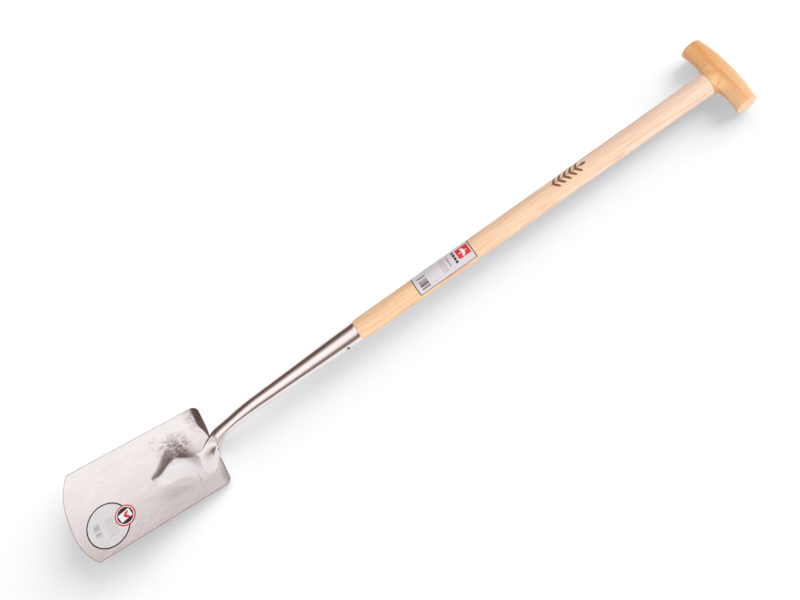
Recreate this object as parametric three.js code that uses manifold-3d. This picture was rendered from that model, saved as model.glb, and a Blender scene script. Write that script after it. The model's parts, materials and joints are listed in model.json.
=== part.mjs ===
// A garden spade lying on its back: a small pressed steel blade, a swan-necked steel socket, a round ash shaft
// and a turned T grip.
//
// Working frame, mm: the origin is the middle of the socket's rim, on the shaft's axis. +X runs along the shaft
// to the grip, the blade is toward -X, +Z rises out of the hollow face of the blade, +Y is sideways.
// The finished group is tipped about Y until blade and grip both touch the ground, z = 0, and is moved so that
// the origin is the middle of the bottom of its box.
import * as THREE from "three";
import { mergeVertices } from "three/addons/utils/BufferGeometryUtils.js";
import Module from "manifold-3d";

const wasm = await Module();
wasm.setup();

const { degToRad, smoothstep, lerp } = THREE.MathUtils;

// ---- Driving dimensions, mm and degrees ----

// Shaft: an 850 mm length of ash, part of it hidden in the socket and part in the grip
const SHAFT_RADIUS = 18;
const SHAFT_VISIBLE = 653;
const SHAFT_IN_SOCKET = 155;
const TENON_RADIUS = 11;
const TENON_LENGTH = 30;
const TENON_CHAMFER = 1;

// Blade
const BLADE_SIDE = 240; // shoulder to the corner of the cutting edge
const BLADE_BULGE = 25.5; // how far the cutting edge's arc runs past its corners
const SHOULDER_HALF_WIDTH = 75;
const EDGE_HALF_WIDTH = 80.7;
const SHOULDER_CORNER_RADIUS = 9;
const SHEET = 2;
const EDGE_THICKNESS = 0.8;
const DISH = 5; // depth of the hollow across the blade
const RIDGE_HEIGHT = 8;
const RIDGE_LENGTH = 118;
const RIDGE_HALF_WIDTH = 46;
const TREAD_ROLL = 4; // how far the shoulders are rolled back for the foot
const TREAD_LENGTH = 13;
const NECK_TREAD_SHARE = 0.3; // how much of the roll is left next to the neck
const NECK_TREAD_END = 14; // sideways, where the roll starts to grow
const FULL_TREAD_START = 50; // sideways, where the roll is full
const SHOULDER_DIP = 4; // relief of the shoulder line next to the neck
const DIP_START = 8; // sideways, where the relief starts to fade
const DIP_END = 34;
const BULGE_POWER = 2.6; // shape of the cutting edge: 2 is a plain arc, more is flatter in the middle
const BLADE_TILT = degToRad(14.4); // blade against the shaft
const SHOULDER_X = -318.6;
const SHOULDER_Z = -34.1;

// Socket: a tube that narrows to a solid neck, which bends back and then forward onto the blade
const RIM_RADIUS = 18.3;
const SOCKET_WALL = 1.8;
const SOCKET_HOLLOW = 158;
const NECK_STRAIGHT = 205;
const BACK_BEND_RADIUS = 212;
const BACK_BEND = degToRad(30);
const HEEL_RADIUS = 25;
const TANG_STRAIGHT = 28;
const TANG_POINT = 1.5; // length of the blunt point that ends the tang
const RIM_CHAMFER = 0.5; // outer corner of the rim, cut back by this
const RIM_CHAMFER_LENGTH = 1;
// Distance from the rim and outside radius, from the rim to the end of the tang
const SOCKET_STATIONS = [
  [0, RIM_RADIUS],
  [55, 17],
  [110, 15.8],
  [175, 13.5],
  [230, 12.4],
  [290, 11.4],
  [320, 10.8],
  [340, 8.4],
  [364, 3],
];

// Rivet through the socket and the shaft
const RIVET_DISTANCE = 29;
const RIVET_ANGLE = degToRad(75); // from the front of the shaft toward -Y
const RIVET_SHANK_RADIUS = 1.8;
const RIVET_HEAD_RADIUS = 3;
const RIVET_HEAD_HEIGHT = 1.1;
const RIVET_SEAT_GAP = 0.05;
// Share of the head's radius and of its height at each step up its dome
const RIVET_DOME = [
  [1, 0],
  [0.86, 0.55],
  [0.5, 0.9],
  [0, 1],
];

// Grip
const GRIP_HALF_LENGTH = 65;
const GRIP_CROWN = 42.5; // top of the grip above the joint, at its middle
const GRIP_END_TOP = 36;
const GRIP_WAIST = 6.3; // underside of the arms above the joint
const GRIP_END_UNDERSIDE = 3;
const GRIP_FILLET = 15;
const GRIP_END_HALF_THICKNESS = 16;
const GRIP_CHAMFER = 1.4;

// Labels
const SHAFT_LABEL_START = 114;
const SHAFT_LABEL_END = 221.7;
const SHAFT_LABEL_FROM = degToRad(-79);
const SHAFT_LABEL_TO = degToRad(66.5);
const LABEL_THICKNESS = 0.15;
const STICKER_RADIUS = 37.3;
const STICKER_U = 207.8;
const STICKER_Y = -32.3;
const BADGE_RADIUS = 17.5;
const BADGE_U = 177.3;
const BADGE_Y = -31.5;

// Fits
const WOOD_FIT = 0.15; // wood in steel or wood, each side
const WELD_GAP = 0.15;
const LABEL_LIFT = 0.06; // adhesive under a label

// How finely curved surfaces are divided
const BLADE_ROWS = 44;
const BLADE_COLUMNS = 32;
const ROW_CROWDING = 1.6; // above 1 the rows crowd toward the shoulder
const SOCKET_SIDES = 40;
const TURNED_SIDES = 64;
const STICKER_SIDES = 48;
const RIVET_SIDES = 24;
const GRIP_SIDES = 40;
const LABEL_COLUMNS = 28;

// ---- Helpers ----

function solidOf(geometry) {
  const bare = geometry.clone();
  bare.deleteAttribute("normal");
  bare.deleteAttribute("uv");
  const merged = mergeVertices(bare, 1e-4);
  const mesh = new wasm.Mesh({
    numProp: 3,
    vertProperties: merged.attributes.position.array,
    triVerts: new Uint32Array(merged.index.array),
  });
  return new wasm.Manifold(mesh);
}

function geometryOf(solid) {
  const mesh = solid.getMesh();
  const geometry = new THREE.BufferGeometry();
  geometry.setAttribute("position", new THREE.BufferAttribute(mesh.vertProperties, 3));
  geometry.setIndex(new THREE.BufferAttribute(mesh.triVerts, 1));
  geometry.computeVertexNormals();
  return geometry;
}

// Moves every vertex of a geometry by a rule that depends only on where the vertex is
function reshape(geometry, rule) {
  const position = geometry.getAttribute("position");
  const point = new THREE.Vector3();
  for (let i = 0; i < position.count; i++) {
    point.fromBufferAttribute(position, i);
    rule(point);
    position.setXYZ(i, point.x, point.y, point.z);
  }
  geometry.computeVertexNormals();
  return geometry;
}

function piece(name, geometry, color, roughness, metalness) {
  const material = new THREE.MeshStandardMaterial({ color, roughness, metalness });
  const mesh = new THREE.Mesh(geometry, material);
  mesh.name = name;
  return mesh;
}

const points = (pairs) => pairs.map(([x, y]) => new THREE.Vector2(x, y));

// ---- Blade ----
// Blade frame: u runs from the shoulder to the cutting edge, v sideways, heights from the plane of its corners

function bladeHalfWidth(u) {
  const side = lerp(SHOULDER_HALF_WIDTH, EDGE_HALF_WIDTH, u / BLADE_SIDE);
  const intoCorner = Math.max(0, SHOULDER_CORNER_RADIUS - u);
  const corner = SHOULDER_CORNER_RADIUS - Math.sqrt(SHOULDER_CORNER_RADIUS ** 2 - intoCorner ** 2);
  return side - corner;
}

function bladeFront(u, v) {
  const dish = -DISH * (1 - (v / EDGE_HALF_WIDTH) ** 2);
  const along = 1 - Math.min(1, Math.max(0, u) / RIDGE_LENGTH) ** 2;
  const across = 1 - Math.min(1, Math.abs(v) / RIDGE_HALF_WIDTH) ** 2;
  const ridge = RIDGE_HEIGHT * along ** 2 * across ** 2;
  const away = lerp(NECK_TREAD_SHARE, 1, smoothstep(Math.abs(v), NECK_TREAD_END, FULL_TREAD_START));
  const rolled = Math.max(0, 1 - u / (TREAD_LENGTH * away));
  return dish + ridge - TREAD_ROLL * away * rolled ** 2;
}

// The pressed sheet, thickened by a clearance when it is used to cut the slot in the neck
function bladeSheet(clearance) {
  return reshape(new THREE.BoxGeometry(1, 1, 1, BLADE_ROWS, BLADE_COLUMNS, 1), (p) => {
    const fromShoulder = 0.5 - p.x;
    const along = fromShoulder ** ROW_CROWDING;
    const straight = BLADE_SIDE * along;
    const v = 2 * p.y * bladeHalfWidth(straight);
    const bulge = BLADE_BULGE * (1 - Math.abs(v / EDGE_HALF_WIDTH) ** BULGE_POWER) * along;
    const dip = SHOULDER_DIP * (1 - smoothstep(Math.abs(v), DIP_START, DIP_END)) * (1 - along);
    const u = straight + bulge + dip;
    const thickness = fromShoulder === 1 ? EDGE_THICKNESS : SHEET;
    const face = p.z > 0 ? clearance : -thickness - clearance;
    const start = fromShoulder === 0 ? clearance : 0;
    p.set(start - u, v, bladeFront(u, v) + face);
  });
}

function placeOnBlade(mesh) {
  mesh.position.set(SHOULDER_X, 0, SHOULDER_Z);
  mesh.rotation.y = BLADE_TILT;
  return mesh;
}

function blade() {
  return placeOnBlade(piece("blade", bladeSheet(0), "#c9c4c2", 0.25, 1));
}

// A round sticker that follows the hollow of the blade
function bladeDisc(name, u, y, radius, lift, color) {
  const rings = [0.25, 0.5, 0.75, 1];
  const top = rings.map((ring) => [radius * ring, LABEL_THICKNESS]);
  const bottom = rings.map((ring) => [radius * ring, 0]);
  const profile = points([[0, 0], ...bottom, ...top.reverse(), [0, LABEL_THICKNESS]]);
  const disc = new THREE.LatheGeometry(profile, STICKER_SIDES).rotateX(Math.PI / 2);
  const geometry = reshape(disc, (p) => {
    const height = bladeFront(u - p.x, y + p.y) + lift + p.z;
    p.set(p.x - u, p.y + y, height);
  });
  return placeOnBlade(piece(name, geometry, color, 0.45, 0));
}

// ---- Socket and neck ----

const HEEL_START = NECK_STRAIGHT + BACK_BEND_RADIUS * BACK_BEND;
const HEEL_BEND = BACK_BEND + BLADE_TILT;
const HEEL_END = HEEL_START + HEEL_RADIUS * HEEL_BEND;

// Middle line of the socket at a distance from the rim: where it is, and how far it has turned down
function neckLine(distance) {
  const straight = Math.min(distance, NECK_STRAIGHT);
  const down = Math.min(Math.max(0, distance - NECK_STRAIGHT) / BACK_BEND_RADIUS, BACK_BEND);
  const up = Math.min(Math.max(0, distance - HEEL_START) / HEEL_RADIUS, HEEL_BEND);
  const rest = Math.max(0, distance - HEEL_END);
  const turned = down - up;
  const backX = BACK_BEND_RADIUS * Math.sin(down);
  const backZ = BACK_BEND_RADIUS * (1 - Math.cos(down));
  const heelX = HEEL_RADIUS * (Math.sin(down) - Math.sin(turned));
  const heelZ = HEEL_RADIUS * (Math.cos(turned) - Math.cos(down));
  const x = -(straight + backX + heelX + rest * Math.cos(turned));
  const z = -(backZ + heelZ + rest * Math.sin(turned));
  return { x, z, turned };
}

const SOCKET_OUTSIDE = new THREE.SplineCurve(points(SOCKET_STATIONS));
const TANG_END = HEEL_END + TANG_STRAIGHT;

// Outside radius at a distance from the rim, found by halving the stretch of the curve it lies in
function socketRadius(distance) {
  let low = 0;
  let high = 1;
  const halvings = 24;
  for (let i = 0; i < halvings; i++) {
    const middle = (low + high) / 2;
    if (SOCKET_OUTSIDE.getPoint(middle).x < distance) low = middle;
    else high = middle;
  }
  return SOCKET_OUTSIDE.getPoint(low).y;
}

function boreRadius(distance) {
  return socketRadius(distance) - SOCKET_WALL;
}

// Distances from one place to another in equal steps, without the last one
function steps(from, to, count) {
  return Array.from({ length: count }, (_, i) => lerp(from, to, i / count));
}

function bentSocket() {
  const outside = [
    ...steps(RIM_CHAMFER_LENGTH, NECK_STRAIGHT, 14),
    ...steps(NECK_STRAIGHT, HEEL_START, 14),
    ...steps(HEEL_START, HEEL_END, 9),
    ...steps(HEEL_END, TANG_END, 7),
    TANG_END,
  ];
  const inside = [...steps(0, SOCKET_HOLLOW, 10), SOCKET_HOLLOW];
  const profile = points([
    [0, -TANG_END - TANG_POINT],
    ...outside.map((distance) => [socketRadius(distance), -distance]).reverse(),
    [RIM_RADIUS - RIM_CHAMFER, 0],
    ...inside.map((distance) => [boreRadius(distance), -distance]),
    [0, -SOCKET_HOLLOW],
  ]);
  return reshape(new THREE.LatheGeometry(profile, SOCKET_SIDES), (p) => {
    const { x, z, turned } = neckLine(-p.y);
    p.set(x - p.z * Math.sin(turned), -p.x, z + p.z * Math.cos(turned));
  });
}

function socket() {
  const slot = placeOnBlade(new THREE.Mesh(bladeSheet(WELD_GAP)));
  slot.updateMatrix();
  const cutter = solidOf(slot.geometry.applyMatrix4(slot.matrix));
  const solid = solidOf(bentSocket()).subtract(cutter).subtract(rivetHole());
  return piece("socket", geometryOf(solid), "#bdb8b5", 0.22, 1);
}

// ---- Rivet ----

// Turns something built along Y to lie across the shaft at the rivet's place
function placeAcross(object) {
  object.position.x = -RIVET_DISTANCE;
  object.rotation.x = Math.PI / 2 + RIVET_ANGLE;
  return object;
}

function rivetHole() {
  const radius = RIVET_SHANK_RADIUS + WOOD_FIT;
  const drill = new THREE.CylinderGeometry(radius, radius, 4 * RIM_RADIUS, RIVET_SIDES);
  const mesh = placeAcross(new THREE.Mesh(drill));
  mesh.updateMatrix();
  return solidOf(drill.applyMatrix4(mesh.matrix));
}

function rivet() {
  const seat = socketRadius(RIVET_DISTANCE - RIVET_HEAD_RADIUS) + RIVET_SEAT_GAP;
  const dome = RIVET_DOME.map(([out, up]) => [RIVET_HEAD_RADIUS * out, seat + RIVET_HEAD_HEIGHT * up]);
  const head = [[RIVET_SHANK_RADIUS, seat], ...dome];
  const tail = head.map(([radius, height]) => [radius, -height]).reverse();
  const geometry = new THREE.LatheGeometry(points([...tail, ...head]), RIVET_SIDES);
  return placeAcross(piece("socket_rivet", geometry, "#8f8a86", 0.35, 1));
}

// ---- Shaft and its label ----

function shaft() {
  // The taper follows the bore at the socket's own stations
  const stations = SOCKET_STATIONS.map(([distance]) => distance).reverse();
  const hidden = stations.filter((distance) => distance < SHAFT_IN_SOCKET);
  const taper = [SHAFT_IN_SOCKET, ...hidden].map((distance) => {
    return [boreRadius(distance) - WOOD_FIT, -distance];
  });
  const joint = SHAFT_VISIBLE;
  const profile = points([
    [0, -SHAFT_IN_SOCKET],
    ...taper,
    [boreRadius(0) - WOOD_FIT, WOOD_FIT],
    [SHAFT_RADIUS, WOOD_FIT],
    [SHAFT_RADIUS, joint],
    [TENON_RADIUS, joint],
    [TENON_RADIUS, joint + TENON_LENGTH - TENON_CHAMFER],
    [TENON_RADIUS - TENON_CHAMFER, joint + TENON_LENGTH],
    [0, joint + TENON_LENGTH],
  ]);
  const turned = new THREE.LatheGeometry(profile, TURNED_SIDES).rotateZ(-Math.PI / 2);
  const solid = solidOf(turned).subtract(rivetHole());
  return piece("shaft", geometryOf(solid), "#e6b78c", 0.5, 0);
}

function shaftLabel() {
  const length = SHAFT_LABEL_END - SHAFT_LABEL_START;
  const geometry = reshape(new THREE.BoxGeometry(length, 1, LABEL_THICKNESS, 1, LABEL_COLUMNS, 1), (p) => {
    const angle = lerp(SHAFT_LABEL_FROM, SHAFT_LABEL_TO, 0.5 - p.y);
    const radius = SHAFT_RADIUS + LABEL_LIFT + LABEL_THICKNESS / 2 + p.z;
    p.set(p.x, -radius * Math.sin(angle), radius * Math.cos(angle));
  });
  const mesh = piece("shaft_label", geometry, "#b9b2b6", 0.45, 0);
  mesh.position.x = SHAFT_LABEL_START + length / 2;
  return mesh;
}

// ---- Grip ----
// Grip frame: the joint with the shaft is at x = 0, the arms run along Y

const gripTop = (y) => lerp(GRIP_CROWN, GRIP_END_TOP, (y / GRIP_HALF_LENGTH) ** 2);

function gripUnderside(y) {
  const side = Math.abs(y);
  const armStart = SHAFT_RADIUS + GRIP_FILLET;
  if (side <= SHAFT_RADIUS) return 0;
  if (side < armStart) return GRIP_WAIST * Math.sqrt(1 - ((armStart - side) / GRIP_FILLET) ** 2);
  const toEnd = (side - armStart) / (GRIP_HALF_LENGTH - armStart);
  return lerp(GRIP_WAIST, GRIP_END_UNDERSIDE, toEnd ** 2);
}

const gripHalfThickness = (y) => {
  return lerp(SHAFT_RADIUS, GRIP_END_HALF_THICKNESS, (y / GRIP_HALF_LENGTH) ** 2);
};

function gripArms() {
  const face = 1 - GRIP_CHAMFER / GRIP_END_HALF_THICKNESS;
  const flank = GRIP_HALF_LENGTH - GRIP_CHAMFER;
  const rows = [...steps(-flank, flank, 38), flank].map((y) => [1, y]);
  const ends = [[0, -GRIP_HALF_LENGTH], [face, -GRIP_HALF_LENGTH]];
  const otherEnds = ends.map(([radius, y]) => [radius, -y]).reverse();
  const barrel = new THREE.LatheGeometry(points([...ends, ...rows, ...otherEnds]), GRIP_SIDES);
  return reshape(barrel, (p) => {
    const middle = (gripTop(p.y) + gripUnderside(p.y)) / 2;
    const half = (gripTop(p.y) - gripUnderside(p.y)) / 2;
    p.set(middle + half * p.x, p.y, gripHalfThickness(p.y) * p.z);
  });
}

function grip() {
  const along = (radius, from, to) => {
    const bar = new THREE.CylinderGeometry(radius, radius, to - from, TURNED_SIDES).rotateZ(-Math.PI / 2);
    return solidOf(bar.translate((from + to) / 2, 0, 0));
  };
  const boss = along(SHAFT_RADIUS, 0, GRIP_CROWN / 2);
  const hole = along(TENON_RADIUS + WOOD_FIT, -1, TENON_LENGTH + WOOD_FIT);
  const solid = solidOf(gripArms()).add(boss).subtract(hole);
  const mesh = piece("grip", geometryOf(solid), "#e08a34", 0.35, 0);
  mesh.position.x = SHAFT_VISIBLE + WOOD_FIT;
  return mesh;
}

// ---- The spade ----

// Angle that brings the grip down to the ground the heel of the blade lies on
const HEEL_DROP = -SHOULDER_Z + TREAD_ROLL + SHEET;
const REST_TIP = Math.atan2(HEEL_DROP - SHAFT_RADIUS, SHAFT_VISIBLE + GRIP_CROWN / 2 - SHOULDER_X);

const spade = new THREE.Group();
spade.name = "garden_spade";
spade.add(
  blade(),
  socket(),
  rivet(),
  shaft(),
  shaftLabel(),
  grip(),
  bladeDisc("blade_sticker", STICKER_U, STICKER_Y, STICKER_RADIUS, LABEL_LIFT, "#b7b2b0"),
  bladeDisc("blade_badge", BADGE_U, BADGE_Y, BADGE_RADIUS, LABEL_LIFT * 2 + LABEL_THICKNESS, "#b3232a"),
);
spade.rotation.y = REST_TIP;

const root = new THREE.Group();
root.add(spade);
root.updateMatrixWorld(true);
const box = new THREE.Box3().setFromObject(root, true);
const middle = box.getCenter(new THREE.Vector3());
spade.position.set(-middle.x, -middle.y, -box.min.z);

export default root;
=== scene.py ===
"""A garden spade on its back on a pale floor: polished steel blade and socket, ash shaft, varnished grip.

Shapes are worked out in mm in the spade's working frame: x runs from the socket's rim along the shaft to the
grip, y is sideways and z rises out of the hollow face of the blade. One matrix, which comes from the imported
CAD, turns them into metres in the CAD's frame.
"""

import json
import math

import bmesh
import bpy
import numpy as np
from mathutils import Matrix, Vector


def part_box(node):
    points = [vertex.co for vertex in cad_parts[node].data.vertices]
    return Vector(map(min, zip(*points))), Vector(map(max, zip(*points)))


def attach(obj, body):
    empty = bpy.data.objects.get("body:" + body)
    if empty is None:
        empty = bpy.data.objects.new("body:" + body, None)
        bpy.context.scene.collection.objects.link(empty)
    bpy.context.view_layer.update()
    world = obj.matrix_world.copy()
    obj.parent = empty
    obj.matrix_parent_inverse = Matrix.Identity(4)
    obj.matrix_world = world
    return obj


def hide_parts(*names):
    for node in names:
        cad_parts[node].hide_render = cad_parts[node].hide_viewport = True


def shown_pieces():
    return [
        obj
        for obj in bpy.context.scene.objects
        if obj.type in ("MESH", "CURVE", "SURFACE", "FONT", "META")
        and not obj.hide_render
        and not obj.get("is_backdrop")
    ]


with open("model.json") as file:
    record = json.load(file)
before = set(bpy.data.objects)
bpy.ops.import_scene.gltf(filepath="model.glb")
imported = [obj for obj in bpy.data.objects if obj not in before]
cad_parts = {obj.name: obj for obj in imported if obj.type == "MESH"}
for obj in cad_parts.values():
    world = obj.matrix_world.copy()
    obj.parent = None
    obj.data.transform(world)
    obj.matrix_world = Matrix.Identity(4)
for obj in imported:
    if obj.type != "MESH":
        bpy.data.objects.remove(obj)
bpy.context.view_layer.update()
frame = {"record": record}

# ---- Dimensions in mm, angles in radians ----

MM = 0.001

SHAFT_RADIUS = 18.0
SHAFT_VISIBLE = 653.0
SHAFT_IN_SOCKET = 155.0
WOOD_FIT = 0.15

BLADE_SIDE = 240.0
BLADE_BULGE = 25.5
SHOULDER_HALF_WIDTH = 75.0
EDGE_HALF_WIDTH = 80.7
SHOULDER_CORNER = 9.0
SHEET = 2.0
EDGE_THICKNESS = 0.8
EDGE_TAPER = 10.0
EDGE_ROUNDING = 0.35
BULGE_POWER = 2.6
DISH = 5.0

# The ridge: its flanks' widths, how its crest swerves, and how it starts low at the neck
RIDGE_HEIGHT = 6.2
RIDGE_LENGTH = 116.0
RIDGE_RIGHT = 46.0
RIDGE_LEFT = 36.0
RIDGE_BLUNTNESS = 0.6
LEFT_FLANK_POWER = 1.4
CREST_OFFSET = 3.0
CREST_SWERVE = 6.0
CREST_FARTHEST_RIGHT = 36.0
CREST_WAVELENGTH = 70.0
CREST_FREE_FROM = 25.0
SADDLE_HEIGHT = 0.15
SADDLE_START = 20.0
SADDLE_END = 72.0

# The treads: their roll on either side, and how it dies away toward the neck
TREAD_ROLL = 4.0
RIGHT_TREAD_ROLL = 0.8
TREAD_LENGTH = 13.0
TREAD_AT_NECK = 0.3
TREAD_GROWS_FROM = 14.0
TREAD_FULL_FROM = 50.0
TREAD_CURL = 1.5
SIDES_MEET = 20.0

# The shoulder line beside the neck: back on the left, up the neck's side on the right
LEFT_DIP = 1.5
LEFT_DIP_FULL = 8.0
LEFT_DIP_END = 34.0
RIGHT_CLIMB = 4.0
RIGHT_CLIMB_FULL = -10.0
RIGHT_CLIMB_LENGTH = 20.0
DIP_MEETS_CLIMB = 6.0

BLADE_TILT = math.radians(14.4)
SHOULDER_X = -318.6
SHOULDER_Z = -34.1

RIM_RADIUS = 18.3
RIM_ROUNDING = 0.6
SOCKET_WALL = 1.8
SOCKET_HOLLOW = 158.0
NECK_STRAIGHT = 205.0
BACK_BEND_RADIUS = 212.0
BACK_BEND = math.radians(30)
# Distance from the rim and outside radius
SOCKET_STATIONS = ((0, RIM_RADIUS), (55, 17), (110, 15.8), (175, 13.5), (230, 12.4), (290, 11.4), (320, 10.8))

# Where the neck spreads onto the blade: its length, and its rise in front and behind
THROAT_LENGTH = 44.0
THROAT_FRONT = 17.0
THROAT_FALL = 3.2
THROAT_BACK = 2.6
THROAT_BACK_LENGTH = 38.0
THROAT_SINK = 0.12
THROAT_PAST_SHOULDER = 0.4
THROAT_SWERVE = 4.0
THROAT_SWERVE_LENGTH = 34.0
# Half widths at the shoulder and at the end
THROAT_RIGHT = (30.0, 62.0)
THROAT_LEFT = (10.5, 3.0)
THROAT_LEFT_LENGTH = 24.0
# How steep its sides are: the right one at the shoulder and further on, and the left one
THROAT_RIGHT_POWER = (1.15, 1.6)
THROAT_RIGHT_POWER_LENGTH = 14.0
THROAT_LEFT_POWER = 0.5
THROAT_EDGE = 0.96
# Distances from the rim at which the neck stops being round: at its sides, and in front and behind
NECK_ROUND_TO = (304.0, 296.0)
# How strongly the neck's own line and the blade's pull on the surface between them: in front and behind
PULL = (0.4, 0.25)
# The crest of the neck's front is pressed to the left, as a share of its radius, over this stretch
CREST_SHIFT = 0.55
CREST_SHIFT_START = 250.0
CREST_SHIFT_END = 298.0

RIVET_DISTANCE = 29.0
RIVET_ANGLE = math.radians(75)
RIVET_HEAD_RADIUS = 3.0
RIVET_HEAD_HEIGHT = 1.1
RIVET_SHANK_RADIUS = 1.8
RIVET_SEAT = 0.1
RIVET_FLAT = 0.01

GRIP_HALF_LENGTH = 65.0
GRIP_CROWN = 42.5
GRIP_END_TOP = 36.0
GRIP_WAIST = 6.3
GRIP_END_UNDERSIDE = 3.0
GRIP_FILLET = 15.0
GRIP_END_HALF_THICKNESS = 16.0
GRIP_CHAMFER = 1.4
GRIP_GRAIN = 0.75
# The boss round the shaft starts this far before the joint, and the cutter takes that off
BOSS_SPARE = 6.0
CUTTER_RADIUS = 30.0
TENON_RADIUS = 11.0
TENON_LENGTH = 30.0

SHAFT_LABEL_START = 114.0
SHAFT_LABEL_END = 221.7
SHAFT_LABEL_FROM = math.radians(-79)
SHAFT_LABEL_TO = math.radians(66.5)
LABEL_THICKNESS = 0.15
LABEL_LIFT = 0.06
STICKER_RADIUS = 37.3
STICKER_U = 207.8
STICKER_Y = -32.3
BADGE_RADIUS = 17.5
BADGE_U = 177.3
BADGE_Y = -31.5


def working_frame():
    """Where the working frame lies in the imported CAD: from the shaft's box and the mount on the grip."""
    low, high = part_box("shaft")
    tip = math.asin((high.z - low.z - 2 * SHAFT_RADIUS * MM) / (SHAFT_VISIBLE * MM))
    turn = Matrix.Rotation(tip, 4, "Y")
    mount = next(m for m in frame["record"]["mounts"] if m["name"] == "grip_end_left")
    end_middle = (GRIP_END_TOP + GRIP_END_UNDERSIDE) / 2
    from_rim = Vector((SHAFT_VISIBLE + WOOD_FIT + end_middle, GRIP_HALF_LENGTH, 0)) * MM
    return Matrix.Translation(Vector(mount["pos_m"]) - turn @ from_rim) @ turn


WORKING = working_frame()


# ---- Mesh helpers ----

def lerp(start, end, share):
    return start + (end - start) * share


def smoothstep(value, low, high):
    share = np.clip((value - low) / (high - low), 0, 1)
    return share * share * (3 - 2 * share)


def face_out(mesh):
    """Turns every face of a closed mesh outward."""
    edited = bmesh.new()
    edited.from_mesh(mesh)
    bmesh.ops.recalc_face_normals(edited, faces=edited.faces)
    edited.to_mesh(mesh)
    edited.free()


def show(name, mesh):
    """A new object in the scene that holds mesh."""
    made = bpy.data.objects.new(name, mesh)
    bpy.context.scene.collection.objects.link(made)
    return made


def shape(name, points, faces, material, crease=35):
    """A smooth object from points in mm, with edges sharper than crease degrees kept."""
    mesh = bpy.data.meshes.new(name)
    mesh.from_pydata((np.asarray(points) * MM).tolist(), [], faces)
    mesh.transform(WORKING)
    face_out(mesh)
    mesh.shade_smooth()
    mesh.set_sharp_from_angle(angle=math.radians(crease))
    mesh.materials.append(material)
    return show(name, mesh)


def stands_for(piece, node):
    """Puts a piece on the spade's one body, in place of a CAD node."""
    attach(piece, "root")
    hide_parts(node)


def lay_flat(piece, u, y, third):
    """Keeps the place that each point of a sheet_body has on the flattened sheet, for its pattern."""
    side = np.stack([u, y, third], axis=-1)
    both_sides = np.ravel([side, side])
    piece.data.attributes.new("flat", "FLOAT_VECTOR", "POINT").data.foreach_set("vector", both_sides)


def strip(first, second, closed):
    """Quads between two rows of point numbers."""
    count = len(first)
    last = count if closed else count - 1
    return [(first[i], second[i], second[(i + 1) % count], first[(i + 1) % count]) for i in range(last)]


def rings_body(rings, start, end):
    """Points and faces of a closed body: rings of equal length, with a point to close each end."""
    count = len(rings[0])
    points = np.concatenate([*rings, [start, end]])
    rows = [list(range(i * count, (i + 1) * count)) for i in range(len(rings))]
    faces = [face for a, b in zip(rows, rows[1:]) for face in strip(a, b, True)]
    first, last = rows[0], rows[-1]
    start_point, end_point = len(points) - 2, len(points) - 1
    faces += [(start_point, first[i], first[(i + 1) % count]) for i in range(count)]
    faces += [(end_point, last[(i + 1) % count], last[i]) for i in range(count)]
    return points, faces


def sheet_body(top, bottom):
    """Points and faces of a thin closed sheet between two equal grids of points."""
    rows, columns = top.shape[:2]
    points = np.concatenate([top.reshape(-1, 3), bottom.reshape(-1, 3)])
    upper = np.arange(rows * columns).reshape(rows, columns)
    lower = upper + rows * columns
    faces = []
    for i in range(rows - 1):
        faces += strip(upper[i], upper[i + 1], False)
        faces += strip(lower[i + 1], lower[i], False)
    faces += strip(upper[0], lower[0], False)[::-1]
    faces += strip(lower[-1], upper[-1], False)
    faces += strip(lower[:, 0], upper[:, 0], False)
    faces += strip(upper[:, -1], lower[:, -1], False)
    return points, [tuple(int(i) for i in face) for face in faces]


def bevel(piece, width, angle):
    """Rounds a piece's edges that are sharper than angle, width in mm."""
    modifier = piece.modifiers.new("edges", "BEVEL")
    modifier.width = width * MM
    modifier.segments = 3
    modifier.limit_method = "ANGLE"
    modifier.angle_limit = math.radians(angle)
    modifier.use_clamp_overlap = False
    piece.modifiers.new("normals", "WEIGHTED_NORMAL").keep_sharp = False


# ---- Blade ----
# u runs from the shoulder to the cutting edge, y is sideways, heights are from the plane of the corners

def side_line(u):
    """Half width between the straight sides."""
    return lerp(SHOULDER_HALF_WIDTH, EDGE_HALF_WIDTH, u / BLADE_SIDE)


def edge_bulge(y):
    """How far the cutting edge arches past its corners."""
    return BLADE_BULGE * (1 - np.abs(y / EDGE_HALF_WIDTH) ** BULGE_POWER)


def blade_half_width(u):
    side = side_line(u)
    into_corner = np.clip(SHOULDER_CORNER - u, 0, None)
    return side - SHOULDER_CORNER + np.sqrt(SHOULDER_CORNER**2 - into_corner**2)


def ridge(u, y):
    """The pressed ridge that carries the neck's force into the sheet. Its crest wanders a little."""
    wave = np.cos(math.tau * (u - CREST_FARTHEST_RIGHT) / CREST_WAVELENGTH)
    crest = (CREST_OFFSET - CREST_SWERVE * wave) * smoothstep(u, 0, CREST_FREE_FROM)
    outline = np.clip(1 - (np.clip(u, 0, None) / RIDGE_LENGTH) ** 2, 0, 1) ** RIDGE_BLUNTNESS
    left = RIDGE_LEFT * outline + 1
    right = RIDGE_RIGHT * outline + 1
    beside = y - crest
    left_flank = np.clip(1 - beside / left, 0, 1) ** LEFT_FLANK_POWER
    right_flank = np.clip(1 - (beside / right) ** 2, 0, 1) ** 2
    saddle = lerp(SADDLE_HEIGHT, 1, smoothstep(u, SADDLE_START, SADDLE_END))
    return RIDGE_HEIGHT * saddle * outline * np.where(beside > 0, left_flank, right_flank)


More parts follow.
